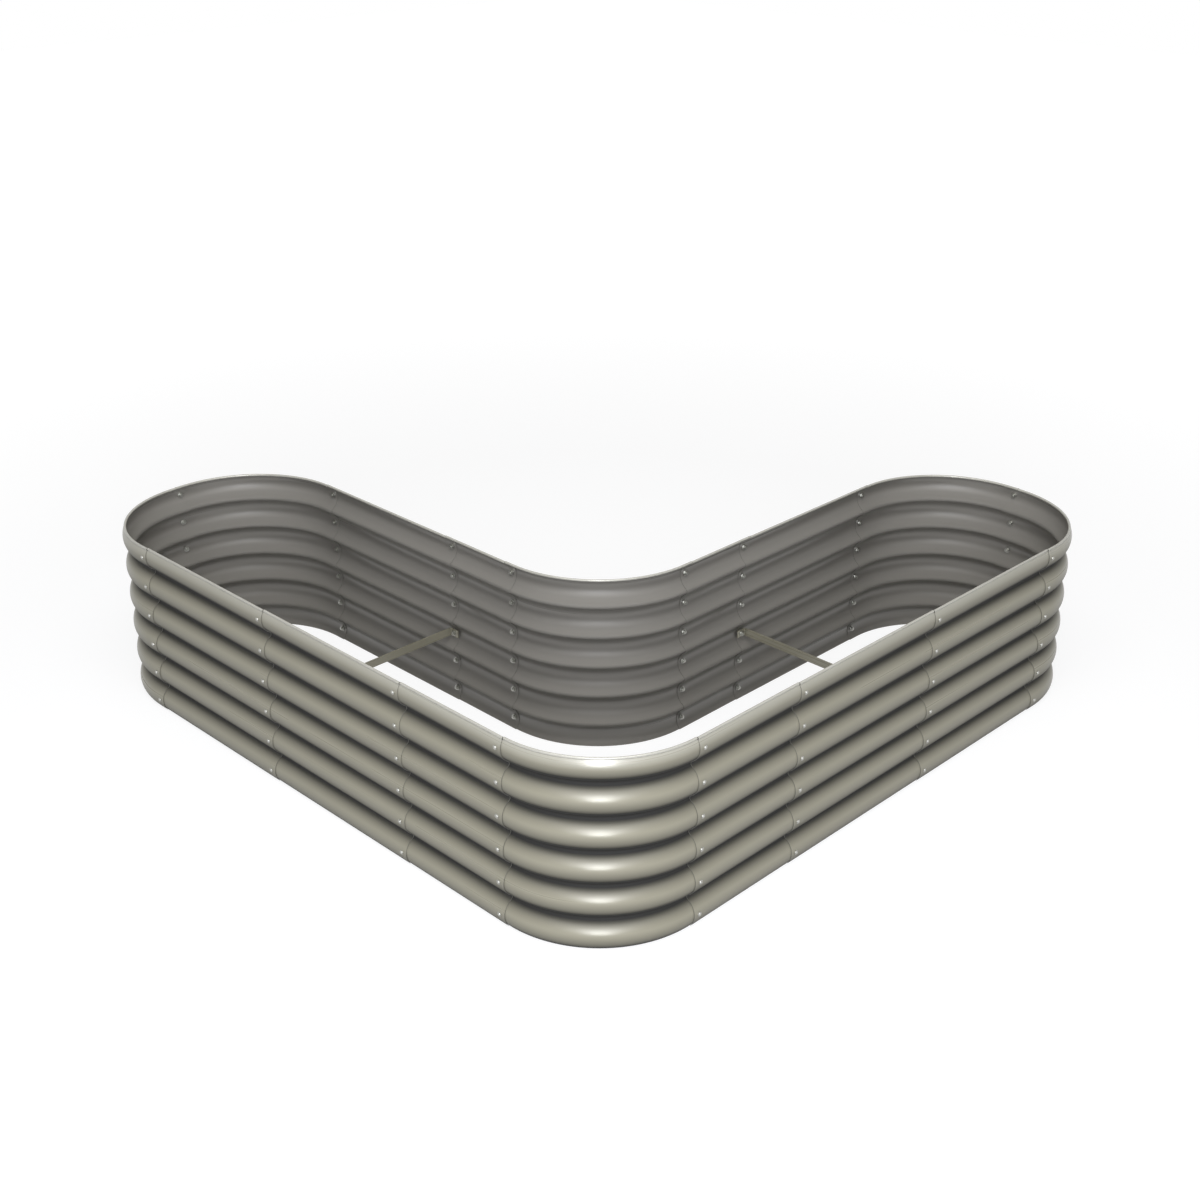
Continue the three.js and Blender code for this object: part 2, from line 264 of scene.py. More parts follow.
@dataclass(frozen=True)
class CoatedSteel:
    """Semi-gloss baked coating on roll-formed sheet steel, with a darker coat on the soil side."""

    # The baked coating gives the eye a soft warm grey with a broad sheen along every rib, broken by
    # faint lines the way the sheet was rolled. The rolled top edge and the top of the highest rib are
    # painted paler: a painted highlight of the light that falls on the rim from above. The coat of
    # the soil side is plainer and darker.
    name: str = "baked_coating_on_steel"
    face: str = "94907E"
    face_shade: str = "8E8A78"
    cut_edge: str = "66655C"
    # Painted highlight: the rolled edge takes this paler colour, and the top of the highest rib fades
    # towards it by rim_share.
    rolled_edge: str = "B1AFA4"
    backer: str = "78756E"
    rim_share: float = 0.75
    # The real coat is one colour all over. The hollows and undersides of the ribs are drawn darker
    # and duller, in place of the shade that the white floor takes from them.
    hollow_shade: str = "12110C"
    hollow_from: float = 0.14
    hollow_roughness: float = 0.8
    # Patterns: millimetres across a feature, and octaves of finer noise in it.
    tone: tuple[float, float] = (420.0, 3.0)
    wave: tuple[float, float] = (260.0, 1.0)
    peel: tuple[float, float] = (1.4, 2.0)
    wave_height_mm: float = 0.3
    peel_height_mm: float = 0.012
    # Real roll lines are well under a millimetre apart. They are drawn at 5 mm so that they show.
    roll_line_mm: float = 5.0
    roll_line_length_mm: float = 700.0
    roll_line_octaves: float = 2.0
    roughness: tuple[float, float] = (0.24, 0.32)
    metallic: float = 0.15
    specular: float = 0.7

    def material(self) -> bpy.types.Material:
        """Builds the node material.

        Returns:
            The material, which reads the attributes of the pressed panels.
        """
        made = bpy.data.materials.new(self.name)
        made.use_nodes = True
        graph = NodeGraph(made.node_tree)
        add = graph.add
        shader = made.node_tree.nodes["Principled BSDF"].inputs
        place = add("ShaderNodeTexCoord", output="Object")
        tone, wave, peel = (
            add(NOISE, {"Vector": place, "Scale": per_metre(size), "Detail": octaves})
            for size, octaves in (self.tone, self.wave, self.peel)
        )
        along, across = per_metre(self.roll_line_length_mm), per_metre(self.roll_line_mm)
        stretched = add(VECTOR_MATH, (place, (along, along, across)), operation="MULTIPLY")
        lines = add(NOISE, {"Vector": stretched, "Scale": 1.0, "Detail": self.roll_line_octaves})
        groove, underside, bead, rim, cut, soil_side = (
            add("ShaderNodeAttribute", output="Fac", attribute_name=name)
            for name in ("groove", "underside", "rolled_edge", "rim", "cut_edge", "soil_side")
        )
        hollow = add(MAP_RANGE, {"Value": groove, "From Min": self.hollow_from})
        shaded = add(MATH, (underside, hollow), operation="ADD", use_clamp=True)
        # Painted highlight on the rolled edge, fading in over the top of the highest rib.
        upper = add(MATH, (rim, self.rim_share), operation="MULTIPLY")
        painted_rim_light = add(MATH, (bead, upper), operation="MAXIMUM")
        colour = linear(self.face_shade)
        for share, tint in (
            (tone, self.face),
            (shaded, self.hollow_shade),
            (painted_rim_light, self.rolled_edge),
            (cut, self.cut_edge),
            (soil_side, self.backer),
        ):
            layer = {"Factor": share, "A": colour, "B": linear(tint)}
            colour = add("ShaderNodeMix", layer, data_type="RGBA")
        graph.feed(shader["Base Color"], colour)
        low, high = self.roughness
        shine = add(MAP_RANGE, {"Value": lines, "To Min": low, "To Max": high})
        dull = add(MATH, (self.hollow_roughness, shine), operation="SUBTRACT")
        graph.feed(shader["Roughness"], add(MATH, (shaded, dull, shine), operation="MULTIPLY_ADD"))
        shader["Metallic"].default_value = self.metallic
        shader["Specular IOR Level"].default_value = self.specular
        sheet = add(BUMP, {"Height": wave, "Distance": self.wave_height_mm * MM})
        skin = {"Height": peel, "Distance": self.peel_height_mm * MM, "Normal": sheet}
        graph.feed(shader["Normal"], add(BUMP, skin))
        return made


@dataclass(frozen=True)
class ZincPlate:
    """Bright zinc plating on bolts, washers and nuts."""

    # The plating gives the eye small cool glints on the warm sheet, with a faint mottle in them.
    name: str = "bright_zinc_plate"
    bright: str = "C2C2BC"
    dull: str = "90908A"
    # Its real crystals are too fine to see. They are drawn at 2.2 mm so that the mottle shows.
    spangle_mm: float = 2.2
    spangle_octaves: float = 2.0
    spangle_height_mm: float = 0.02
    roughness: tuple[float, float] = (0.26, 0.46)
    metallic: float = 1.0

    def material(self) -> bpy.types.Material:
        """Builds the node material.

        Returns:
            The material.
        """
        made = bpy.data.materials.new(self.name)
        made.use_nodes = True
        graph = NodeGraph(made.node_tree)
        shader = made.node_tree.nodes["Principled BSDF"].inputs
        place = graph.add("ShaderNodeTexCoord", output="Object")
        crystals = {"Vector": place, "Scale": per_metre(self.spangle_mm), "Detail": self.spangle_octaves}
        spangle = graph.add(NOISE, crystals)
        mottle = {"Factor": spangle, "A": linear(self.dull), "B": linear(self.bright)}
        graph.feed(shader["Base Color"], graph.add("ShaderNodeMix", mottle, data_type="RGBA"))
        low, high = self.roughness
        shine = {"Value": spangle, "To Min": high, "To Max": low}
        graph.feed(shader["Roughness"], graph.add(MAP_RANGE, shine))
        shader["Metallic"].default_value = self.metallic
        relief = {"Height": spangle, "Distance": self.spangle_height_mm * MM}
        graph.feed(shader["Normal"], graph.add(BUMP, relief))
        return made


# ---------------------------------------------------------------- sheet and plan


@dataclass(frozen=True)
class Corrugation:
    """Rolled sheet: ribs of tangent arcs and a bead along the top edge."""

    pitch: float = 76.2 * MM
    ribs: int = 6
    depth: float = 22 * MM
    valley_radius: float = 6 * MM
    edge_land: float = 25.4 * MM
    sheet: float = 0.8 * MM
    bead_radius: float = 3 * MM
    bead_relief: float = 0.6 * MM
    crest_steps: int = 20
    valley_steps: int = 8
    bead_steps: int = 20
    row_margin: float = 1 * MM

    @property
    def flank(self) -> float:
        """Angle at which the crest and valley arcs meet."""
        return 2 * math.atan(self.depth / (self.pitch / 2))

    @property
    def crest_radius(self) -> float:
        """Radius of the crest's outer face."""
        return self.pitch / 2 / math.sin(self.flank) - self.valley_radius

    @property
    def height(self) -> float:
        """Height of the wall, bead included."""
        return 2 * self.edge_land + (self.ribs - 1) * self.pitch

    @property
    def sheet_top(self) -> float:
        """Height of the sheet's edge, at the middle of the bead."""
        return self.height - self.bead_radius

    @property
    def notch_top(self) -> float:
        """Height of an inner sheet where it passes under its neighbour's bead."""
        return self.height - 2 * self.bead_radius - self.bead_relief

    def crest(self, rib: int) -> float:
        """Height of a rib's crest, ribs counted from the ground."""
        return self.edge_land + rib * self.pitch

    def rows(self, top: float) -> list[float]:
        """Heights of the sheet's rows, closer together where the face turns.

        Args:
            top: Height of the highest row.

        Returns:
            Heights from 0 to `top`.
        """
        rows = []
        for rib in range(self.ribs):
            arcs = (
                (self.crest(rib), self.crest_radius, self.crest_steps),
                (self.crest(rib) + self.pitch / 2, self.valley_radius, self.valley_steps),
            )
            for centre, radius, steps in arcs:
                for i in range(steps):
                    angle = self.flank * (2 * i / steps - 1)
                    rows.append(centre + radius * math.sin(angle))
        return [0.0, *[z for z in rows if self.row_margin < z < top - self.row_margin], top]


@dataclass(frozen=True)
class Stop:
    """A place on the crest line in plan and the direction into the soil there."""

    place: Vector
    inward: Vector

    def reflected(self) -> "Stop":
        """The stop of the left arm that answers to one of the right."""
        return Stop(self.place.yxz, self.inward.yxz)

    def towards(self, other: "Stop", distance: float) -> "Stop":
        """A stop on the way to another one.

        Args:
            other: Where the way leads.
            distance: How far along it.

        Returns:
            The stop between them.
        """
        share = distance / (other.place - self.place).length
        inward = self.inward.lerp(other.inward, share).normalized()
        return Stop(self.place.lerp(other.place, share), inward)


@dataclass(frozen=True)
class Ring:
    """A stop on a panel, its share of the panel's length, and 1 where the sheet is cut."""

    stop: Stop
    share: float
    cut: float


@dataclass(frozen=True)
class PanelPlan:
    """Where one panel runs and how it laps with its neighbours."""

    node: str
    stops: tuple[Stop, ...]
    laps: tuple[Lap, Lap]

    def length(self) -> float:
        """Length of the crest line."""
        return sum((b.place - a.place).length for a, b in zip(self.stops, self.stops[1:]))

    def at(self, distance: float) -> Stop:
        """Finds a place on the crest line.

        Args:
            distance: How far it is from the panel's start.

        Returns:
            The stop there.
        """
        left = distance
        for a, b in zip(self.stops, self.stops[1:]):
            step = (b.place - a.place).length
            if left <= step or b is self.stops[-1]:
                return a.towards(b, left)
            left -= step
        raise ValueError(f"{self.node} has no length")

    def part(self, start: float, end: float, edge: float) -> list[Ring]:
        """Lays out the rings of one stretch of the panel.

        Args:
            start: Where the stretch starts, from the panel's start.
            end: Where it ends.
            edge: Width of the bare strip along the panel's cut ends.

        Returns:
            Rings in order, closer together at the panel's own ends.
        """
        total = self.length()
        runs = [start, end, *(cut for cut in (edge, total - edge) if start < cut < end)]
        run = 0.0
        for a, b in zip(self.stops, self.stops[1:]):
            run += (b.place - a.place).length
            if start + 2 * edge < run < end - 2 * edge:
                runs.append(run)
        return [Ring(self.at(r), r / total, float(min(r, total - r) < edge / 2)) for r in sorted(runs)]


@dataclass(frozen=True)
class BedPlan:
    """Plan of the L: two arms of equal length with every corner rounded alike."""

    rib: Corrugation = field(default_factory=Corrugation)
    corner_radius: float = 265 * MM
    short_pitch: float = 304 * MM
    long_pitch: float = 465 * MM
    lap_width: float = 30 * MM
    lap_gap: float = 0.6 * MM
    corner_steps: int = 30
    brace_rib: int = 2

    @property
    def reach(self) -> float:
        """From a bolt column to the square corner."""
        return self.corner_radius + self.lap_width / 2

    @property
    def arm_length(self) -> float:
        """Length of an arm over the sheets."""
        return 2 * self.reach + self.short_pitch + 2 * self.long_pitch

    @property
    def arm_width(self) -> float:
        """Width of an arm over the sheets."""
        return 2 * self.reach

    @property
    def lap_step(self) -> float:
        """How far the inner sheet of a lap lies inside the outer one."""
        return self.rib.sheet + self.lap_gap

    @property
    def brace_column(self) -> float:
        """Where the cross brace's seam is, along the arm."""
        return self.reach + self.short_pitch + self.long_pitch

    def stop(self, x: float, y: float, inward_x: float, inward_y: float) -> Stop:
        """A stop given from the front corner instead of the origin."""
        middle = self.arm_length / 2
        return Stop(Vector((x - middle, y - middle, 0)), Vector((inward_x, inward_y, 0)))

    def corner(self, cx: float, cy: float, start: float, end: float, side: int) -> tuple[Stop, ...]:
        """Stops around a rounded corner and along the flat laps at its ends.

        Args:
            cx: Centre of the round, from the front corner.
            cy: The same along the other arm.
            start: First angle of the round.
            end: Last angle of the round.
            side: -1 where the soil lies towards the centre, else 1.

        Returns:
            The stops in order.
        """

        def on_arc(angle: float, lead: float) -> Stop:
            """Sets a stop on the round or on the flat beside it.

            Args:
                angle: Its angle on the round.
                lead: How far it is moved on along the tangent.

            Returns:
                The stop.
            """
            c, s = math.cos(angle), math.sin(angle)
            ahead = lead * math.copysign(1.0, end - start)
            x = cx + self.corner_radius * c - ahead * s
            y = cy + self.corner_radius * s + ahead * c
            return self.stop(x, y, side * c, side * s)

        steps = self.corner_steps
        arc = [on_arc(start + (end - start) * i / steps, 0.0) for i in range(steps + 1)]
        return (on_arc(start, -self.lap_width), *arc, on_arc(end, self.lap_width))

    def straight(self, x0: float, x1: float, y: float, inward_y: int) -> tuple[Stop, ...]:
        """Stops of a flat panel between two bolt columns of a wall along X."""
        lead = math.copysign(self.lap_width / 2, x1 - x0)
        return (self.stop(x0 - lead, y, 0, inward_y), self.stop(x1 + lead, y, 0, inward_y))

    def right_arm(self) -> dict[str, tuple[Stop, ...]]:
        """Lays out the right arm, from the front corner to the end and back along the rear.

        Returns:
            The stops of each panel, by its name on the arm.
        """
        radius, width = self.corner_radius, self.arm_width
        end_x = self.arm_length - radius
        last = self.arm_length - self.reach
        first_long = self.reach + self.short_pitch
        brace = self.brace_column
        return {
            "outer_short_panel": self.straight(self.reach, first_long, 0, 1),
            "outer_long_panel_1": self.straight(first_long, brace, 0, 1),
            "outer_long_panel_2": self.straight(brace, last, 0, 1),
            "end_corner_front": self.corner(end_x, radius, -math.pi / 2, 0, -1),
            "end_corner_rear": self.corner(end_x, width - radius, 0, math.pi / 2, -1),
            "rear_long_panel": self.straight(last, brace, width, -1),
            "rear_filler_panel": self.straight(brace, width + self.reach, width, -1),
        }

    def panels(self) -> list[PanelPlan]:
        """Lays out every panel of the bed.

        Returns:
            The two corners on the axis of the L, then the panels of both arms in pairs.
        """
        radius = self.corner_radius
        inner = self.arm_width + radius
        front = self.corner(radius, radius, math.pi, 1.5 * math.pi, -1)
        back = self.corner(inner, inner, -math.pi / 2, -math.pi, 1)
        plans = [
            PanelPlan("front_corner_panel", front, (Lap.INNER, Lap.INNER)),
            PanelPlan("inner_corner_panel", back, (Lap.OUTER, Lap.OUTER)),
        ]
        for name, stops in self.right_arm().items():
            mirrored = tuple(s.reflected() for s in stops)
            laps = (Lap.OUTER, Lap.INNER)
            plans.append(PanelPlan(f"{Arm.RIGHT.value}_{name}", stops, laps))
            plans.append(PanelPlan(f"{Arm.LEFT.value}_{name}", mirrored, laps))
        return plans


# ---------------------------------------------------------------- panels


@dataclass
class Blank:
    """Flat stock for the rib rollers: rings of points and what the rollers must know of each."""

    points: list[Vector] = field(default_factory=list)
    faces: list[tuple[int, ...]] = field(default_factory=list)
    inset: list[float] = field(default_factory=list)
    rib_height: list[float] = field(default_factory=list)
    inward: list[Vector] = field(default_factory=list)
    soil_side: list[float] = field(default_factory=list)
    cut_edge: list[float] = field(default_factory=list)
    rolled_edge: list[float] = field(default_factory=list)

    def loft(
        self, path: list[Ring], section: Section, is_sheet: bool, insets: tuple[float, ...]
    ) -> None:
        """Adds a closed shell along a path.

        Args:
            path: The rings.
            section: What is carried along them.
            is_sheet: True for the sheet, whose ends are closed by quads between its two faces,
                and False for the bead, whose ends are closed by one face.
            insets: The panel's inset at its start and end.
        """
        count = len(section)
        base = len(self.points)
        for ring in path:
            set_in = insets[0] + (insets[1] - insets[0]) * ring.share
            for inset, offset, height, rib_height in section:
                self.points.append(ring.stop.place + ring.stop.inward * offset + Vector((0, 0, height)))
                self.inset.append(set_in + inset)
                self.rib_height.append(rib_height)
                self.inward.append(ring.stop.inward)
                self.soil_side.append(1.0 if inset > 0 and is_sheet else 0.0)
                self.cut_edge.append(ring.cut)
                self.rolled_edge.append(0.0 if is_sheet else 1.0)
        for ring in range(len(path) - 1):
            for i in range(count):
                j = (i + 1) % count
                a, b = base + ring * count, base + (ring + 1) * count
                self.faces.append((a + i, b + i, b + j, a + j))
        for ring, turn in ((0, 1), (len(path) - 1, -1)):
            start = base + ring * count
            if is_sheet:
                for i in range(count // 2 - 1):
                    quad = (start + i, start + i + 1, start + count - 2 - i, start + count - 1 - i)
                    self.faces.append(quad[::turn])
            else:
                self.faces.append(tuple(range(start, start + count))[::turn])

    def mesh(self, name: str) -> bpy.types.Mesh:
        """Makes the mesh and its attributes.

        Args:
            name: Name of the mesh.

        Returns:
            The mesh.
        """
        made = bpy.data.meshes.new(name)
        made.from_pydata([tuple(p) for p in self.points], [], self.faces)
        for label in ("inset", "rib_height", "soil_side", "cut_edge", "rolled_edge"):
            made.attributes.new(label, "FLOAT", "POINT").data.foreach_set("value", getattr(self, label))
        flat = [c for direction in self.inward for c in direction]
        made.attributes.new("inward", "FLOAT_VECTOR", "POINT").data.foreach_set("vector", flat)
        return made


def rib_rollers(rib: Corrugation) -> GeometryTree:
    """Builds the tree that presses ribs into a flat blank.

    Each point moves into the wall by the depth that the rib has at its height. A point set in
    by an inset lies on the parallel face: a smaller arc on the crests, a larger in the valleys.

    Args:
        rib: The corrugation's sizes.

    Returns:
        The tree.
    """
    sizes = {
        "Rib Pitch": rib.pitch,
        "Rib Depth": rib.depth,
        "Valley Radius": rib.valley_radius,
        "First Crest": rib.edge_land,
        "Top Crest": rib.crest(rib.ribs - 1),
        "Sheet Top": rib.sheet_top,
    }
    shade_from = 0.35  # Shading starts this share of half a pitch above the crest.
    tree = GeometryTree.create("rib_rollers", sizes)
    add = tree.add
    pitch, depth, valley_radius, first_crest, top_crest, sheet_top = map(tree.given, sizes)
    inset = add(ATTRIBUTE, ("inset",), data_type="FLOAT")
    height = add(ATTRIBUTE, ("rib_height",), data_type="FLOAT")
    inward = add(ATTRIBUTE, ("inward",), data_type="FLOAT_VECTOR")

    # The radii of both arcs on the face that the point belongs to.
    half = add(MATH, (pitch, 2.0), operation="DIVIDE")
    slope = add(MATH, (depth, half), operation="DIVIDE")
    half_flank = add(MATH, (slope,), operation="ARCTANGENT")
    flank = add(MATH, (half_flank, 2.0), operation="MULTIPLY")
    lean = add(MATH, (flank,), operation="SINE")
    both_radii = add(MATH, (half, lean), operation="DIVIDE")
    crest_radius = add(MATH, (both_radii, valley_radius), operation="SUBTRACT")
    crest = add(MATH, (crest_radius, inset), operation="SUBTRACT")
    valley = add(MATH, (valley_radius, inset), operation="ADD")

    # Where the point is on its rib, and how deep the rib is there.
    from_first = add(MATH, (height, first_crest), operation="SUBTRACT")
    lowest = add(MATH, (half, -1.0), operation="MULTIPLY")
    above_crest = add(MATH, (from_first, half, lowest), operation="WRAP")
    off_crest = add(MATH, (above_crest,), operation="ABSOLUTE")
    off_valley = add(MATH, (half, off_crest), operation="SUBTRACT")
    rises = []
    for radius, off_middle in ((crest, off_crest), (valley, off_valley)):
        square = add(MATH, (radius, radius), operation="MULTIPLY")
        off_square = add(MATH, (off_middle, off_middle), operation="MULTIPLY")
        rest = add(MATH, (square, off_square), operation="SUBTRACT")
        inside = add(MATH, (rest, 0.0), operation="MAXIMUM")
        rises.append(add(MATH, (inside,), operation="SQRT"))
    on_crest = add(MATH, (crest_radius, rises[0]), operation="SUBTRACT")
    valley_middle = add(MATH, (depth, valley_radius), operation="SUBTRACT")
    in_valley = add(MATH, (valley_middle, rises[1]), operation="ADD")
    crest_half = add(MATH, (crest, lean), operation="MULTIPLY")
    is_valley = add(MATH, (off_crest, crest_half), operation="GREATER_THAN")
    change = add(MATH, (in_valley, on_crest), operation="SUBTRACT")
    pressed = add(MATH, (change, is_valley, on_crest), operation="MULTIPLY_ADD")
    offset = add(VECTOR_MATH, {"Vector": inward, "Scale": pressed}, operation="SCALE")
    sheet = add("GeometryNodeSetPosition", {"Geometry": tree.given("Geometry"), "Offset": offset})

    # Marks that the coating reads: where painted shade goes in the grooves and under the ribs,
    # and where a painted highlight fades in near the rim.
    shade_top = add(MATH, (half, shade_from), operation="MULTIPLY")
    lower_half = {"Value": above_crest, "From Min": shade_top, "From Max": lowest}
    near_rim = {"Value": height, "From Min": top_crest, "From Max": sheet_top}
    covered = add(MATH, (height, top_crest), operation="LESS_THAN")
    share_of_depth = add(MATH, (pressed, depth), operation="DIVIDE")
    marks = {
        "groove": add(MATH, (share_of_depth, covered), operation="MULTIPLY"),
        "underside": add(MAP_RANGE, lower_half, interpolation_type="SMOOTHSTEP"),
        "rim": add(MAP_RANGE, near_rim),
    }
    for label, value in marks.items():
        mark = {"Geometry": sheet, "Name": label, "Value": value}
        sheet = add("GeometryNodeStoreNamedAttribute", mark, data_type="FLOAT")
    tree.finish(sheet)
    return tree


@dataclass
class WallPanels:
    """The ring of corrugated panels, each a piece of its own."""

    plan: BedPlan
    coating: bpy.types.Material
    bare_strip: float = 1.0 * MM
    crease: float = math.radians(35)

    def sheet_section(self, top: float) -> Section:
        """Section of the sheet up to a height.

        Args:
            top: The height.

        Returns:
            Points up the outer face and down the inner one.
        """
        rows = self.plan.rib.rows(top)
        outer = [(0.0, 0.0, z, z) for z in rows]
        inner = [(self.plan.rib.sheet, 0.0, z, z) for z in reversed(rows)]
        return outer + inner

    def bead_section(self) -> Section:
        """Round section of the rolled top edge.

        Returns:
            Points around it.
        """
        rib = self.plan.rib
        section = []
        for i in range(rib.bead_steps):
            angle = 2 * math.pi * i / rib.bead_steps
            offset = rib.bead_radius * math.sin(angle)
            height = rib.sheet_top + rib.bead_radius * math.cos(angle)
            section.append((rib.sheet / 2, offset, height, rib.sheet_top))
        return section

    def blank(self, panel: PanelPlan) -> Blank:
        """Lays out one panel: the full sheet, its notched laps and its bead.

        Args:
            panel: The panel's plan.

        Returns:
            The flat stock.
        """
        rib = self.plan.rib
        total = panel.length()
        strip = self.bare_strip
        relief = self.plan.lap_width + rib.bead_relief
        start = relief if panel.laps[0] is Lap.INNER else 0.0
        end = total - (relief if panel.laps[1] is Lap.INNER else 0.0)
        insets = tuple(0.0 if lap is Lap.OUTER else self.plan.lap_step for lap in panel.laps)
        stock = Blank()
        stock.loft(panel.part(start, end, strip), self.sheet_section(rib.sheet_top), True, insets)
        for notch in ((0.0, start), (end, total)):
            if notch[0] < notch[1]:
                stock.loft(panel.part(*notch, strip), self.sheet_section(rib.notch_top), True, insets)
        stock.loft(panel.part(start, end, strip), self.bead_section(), False, insets)
        return stock

    def build(self) -> list[bpy.types.Object]:
        """Builds, dresses and hands over every panel.

        Returns:
            The panels.
        """
        rollers = rib_rollers(self.plan.rib)
        pieces = []
        for panel in self.plan.panels():
            stock = add_object(f"{panel.node}_sheet", self.blank(panel).mesh(panel.node))
            piece = rollers.run(stock, {}, self.coating)
            pieces.append(hand_over(piece, Slot.COATED, self.crease, panel.node))
        return pieces


# ---------------------------------------------------------------- fasteners


@dataclass(frozen=True)
class BoltSize:
    """A domed bolt with its washer and flanged nut."""

    head_radius: float = 4.0 * MM
    head_height: float = 2.3 * MM
    washer_radius: float = 5 * MM
    washer_thickness: float = 0.7 * MM
    washer_sunk: float = 0.3 * MM
    shank_radius: float = 3 * MM
    nut_across_flats: float = 10 * MM
    nut_height: float = 5 * MM
    flange_radius: float = 7 * MM
    flange_thickness: float = 1.2 * MM
    thread_end: float = 2.5 * MM

    def inputs(self, grip: float) -> dict[str, float]:
        """Named inputs of the bolt tree, with `grip` from the wall's outer face to the nut."""
        sizes = {f.name.replace("_", " ").title(): getattr(self, f.name) for f in fields(self)}
        return {**sizes, "Grip": grip}


def bolt_setter(size: BoltSize) -> GeometryTree:
    """Builds the tree that sets a bolt, washer and nut at every point, along its `outward`.

    Args:
        size: Default sizes.

    Returns:
        The tree.
    """
    dome_sides, dome_rings, washer_sides, shank_sides, nut_sides = 20, 12, 24, 12, 6
    tree = GeometryTree.create("bolt_setter", size.inputs(0.0))
    add, given = tree.add, tree.given
    flats, seat = given("Nut Across Flats"), given("Washer Thickness")
    sunk = add(MATH, (given("Washer Sunk"), -1.0), operation="MULTIPLY")
    nut_top = add(MATH, (given("Grip"), -1.0), operation="MULTIPLY")
    nut_end = add(MATH, (nut_top, given("Nut Height")), operation="SUBTRACT")
    thread_tip = add(MATH, (nut_end, given("Thread End")), operation="SUBTRACT")
    flange_end = add(MATH, (nut_top, given("Flange Thickness")), operation="SUBTRACT")
    corner = add(MATH, (flats, 2 * math.cos(math.pi / nut_sides)), operation="DIVIDE")

    squash = add(MATH, (given("Head Height"), given("Head Radius")), operation="DIVIDE")
    dome = {
        "Geometry": add("GeometryNodeMeshUVSphere", (dome_sides, dome_rings, given("Head Radius"))),
        "Translation": add(XYZ, {"Z": seat}),
        "Scale": add(XYZ, (1.0, 1.0, squash)),
    }
    stack = [add(TRANSFORM, dome)]
    for sides, radius, bottom, top in (
        (washer_sides, given("Washer Radius"), sunk, seat),
        (shank_sides, given("Shank Radius"), thread_tip, 0.0),
        (nut_sides, corner, nut_end, nut_top),
        (washer_sides, given("Flange Radius"), flange_end, nut_top),
    ):
        tall = add(MATH, (top, bottom), operation="SUBTRACT")
        ends = add(MATH, (top, bottom), operation="ADD")
        lift = add(XYZ, {"Z": add(MATH, (ends, 2.0), operation="DIVIDE")})
        disc = {"Vertices": sides, "Radius": radius, "Depth": tall}
        body = add("GeometryNodeMeshCylinder", disc)
        stack.append(add(TRANSFORM, {"Geometry": body, "Translation": lift}))
    bolt = add("GeometryNodeJoinGeometry", {"Geometry": stack})
    outward = add(ATTRIBUTE, ("outward",), data_type="FLOAT_VECTOR")
    aim = add("FunctionNodeAlignRotationToVector", {"Vector": outward}, axis="Z")
    setting = {"Points": given("Geometry"), "Instance": bolt, "Rotation": aim}
    tree.finish(add("GeometryNodeInstanceOnPoints", setting))
    return tree


@dataclass
class Fasteners:
    """Bolt columns of all seams, and the longer bolts of the braces."""

    plan: BedPlan
    plating: bpy.types.Material
    brace_grip: float = 7.7 * MM
    size: BoltSize = field(default_factory=BoltSize)
    crease: float = math.radians(40)

    @property
    def seam_grip(self) -> float:
        """Grip of a seam bolt, whose nut's flange rests on the hollow side of a crest.

        Returns:
            From the outer face to the nut.
        """
        hollow = self.plan.lap_step + self.plan.rib.sheet
        radius = self.plan.rib.crest_radius - hollow
        return hollow + radius - math.sqrt(radius**2 - self.size.flange_radius**2)

    def columns(self) -> list[tuple[str, Stop]]:
        """Finds every bolt column.

        Returns:
            Each column's stop, with the panel whose outer lap it holds.
        """
        half = self.plan.lap_width / 2
        found = []
        for panel in self.plan.panels():
            for lap, distance in zip(panel.laps, (half, panel.length() - half)):
                if lap is Lap.OUTER:
                    found.append((panel.node, panel.at(distance)))
        return found

    def set_bolts(
        self, setter: GeometryTree, name: str, grip: float, places: list[tuple[Stop, int]], *nodes: str
    ) -> bpy.types.Object:
        """Sets bolts, dresses them and hands them over.

        Args:
            setter: The bolt tree.
            name: Name of the piece.
            grip: From the outer face of the wall to the nut.
            places: Column and rib of each bolt.
            *nodes: CAD nodes that the bolts stand for.

        Returns:
            The piece.
        """
        mesh = bpy.data.meshes.new(name)
        rib = self.plan.rib
        mesh.from_pydata([tuple(s.place + Vector((0, 0, rib.crest(i)))) for s, i in places], [], [])
        flat = [-c for s, _ in places for c in s.inward]
        mesh.attributes.new("outward", "FLOAT_VECTOR", "POINT").data.foreach_set("vector", flat)
        piece = setter.run(add_object(name, mesh), self.size.inputs(grip), self.plating)
        return hand_over(piece, Slot.ZINC, self.crease, *nodes)

    def build(self) -> list[bpy.types.Object]:
        """Sets the seam bolts, then each brace bolt with its nut.

        Returns:
            One piece of seam bolts and one for each brace bolt.
        """
        setter = bolt_setter(self.size)
        braced = {"outer_long_panel_2": "front", "rear_filler_panel": "rear"}
        rib = self.plan.brace_rib
        plain: list[tuple[Stop, int]] = []
        held: list[tuple[Arm, str, Stop]] = []
        for node, stop in self.columns():
            arm = next((a for a in Arm if node.startswith(a.value)), None)
            side = braced.get(node.removeprefix(f"{arm.value}_")) if arm else None
            plain += [(stop, i) for i in range(self.plan.rib.ribs) if not (side and i == rib)]
            if side:
                held.append((arm, side, stop))
        pieces = [self.set_bolts(setter, "seam_bolts", self.seam_grip, plain)]
        for arm, side, stop in held:
            name = f"{arm.value}_brace_fastener_{side}"
            nodes = (f"{arm.value}_brace_bolt_{side}", f"{arm.value}_brace_nut_{side}")
            pieces.append(self.set_bolts(setter, name, self.brace_grip, [(stop, rib)], *nodes))
        return pieces


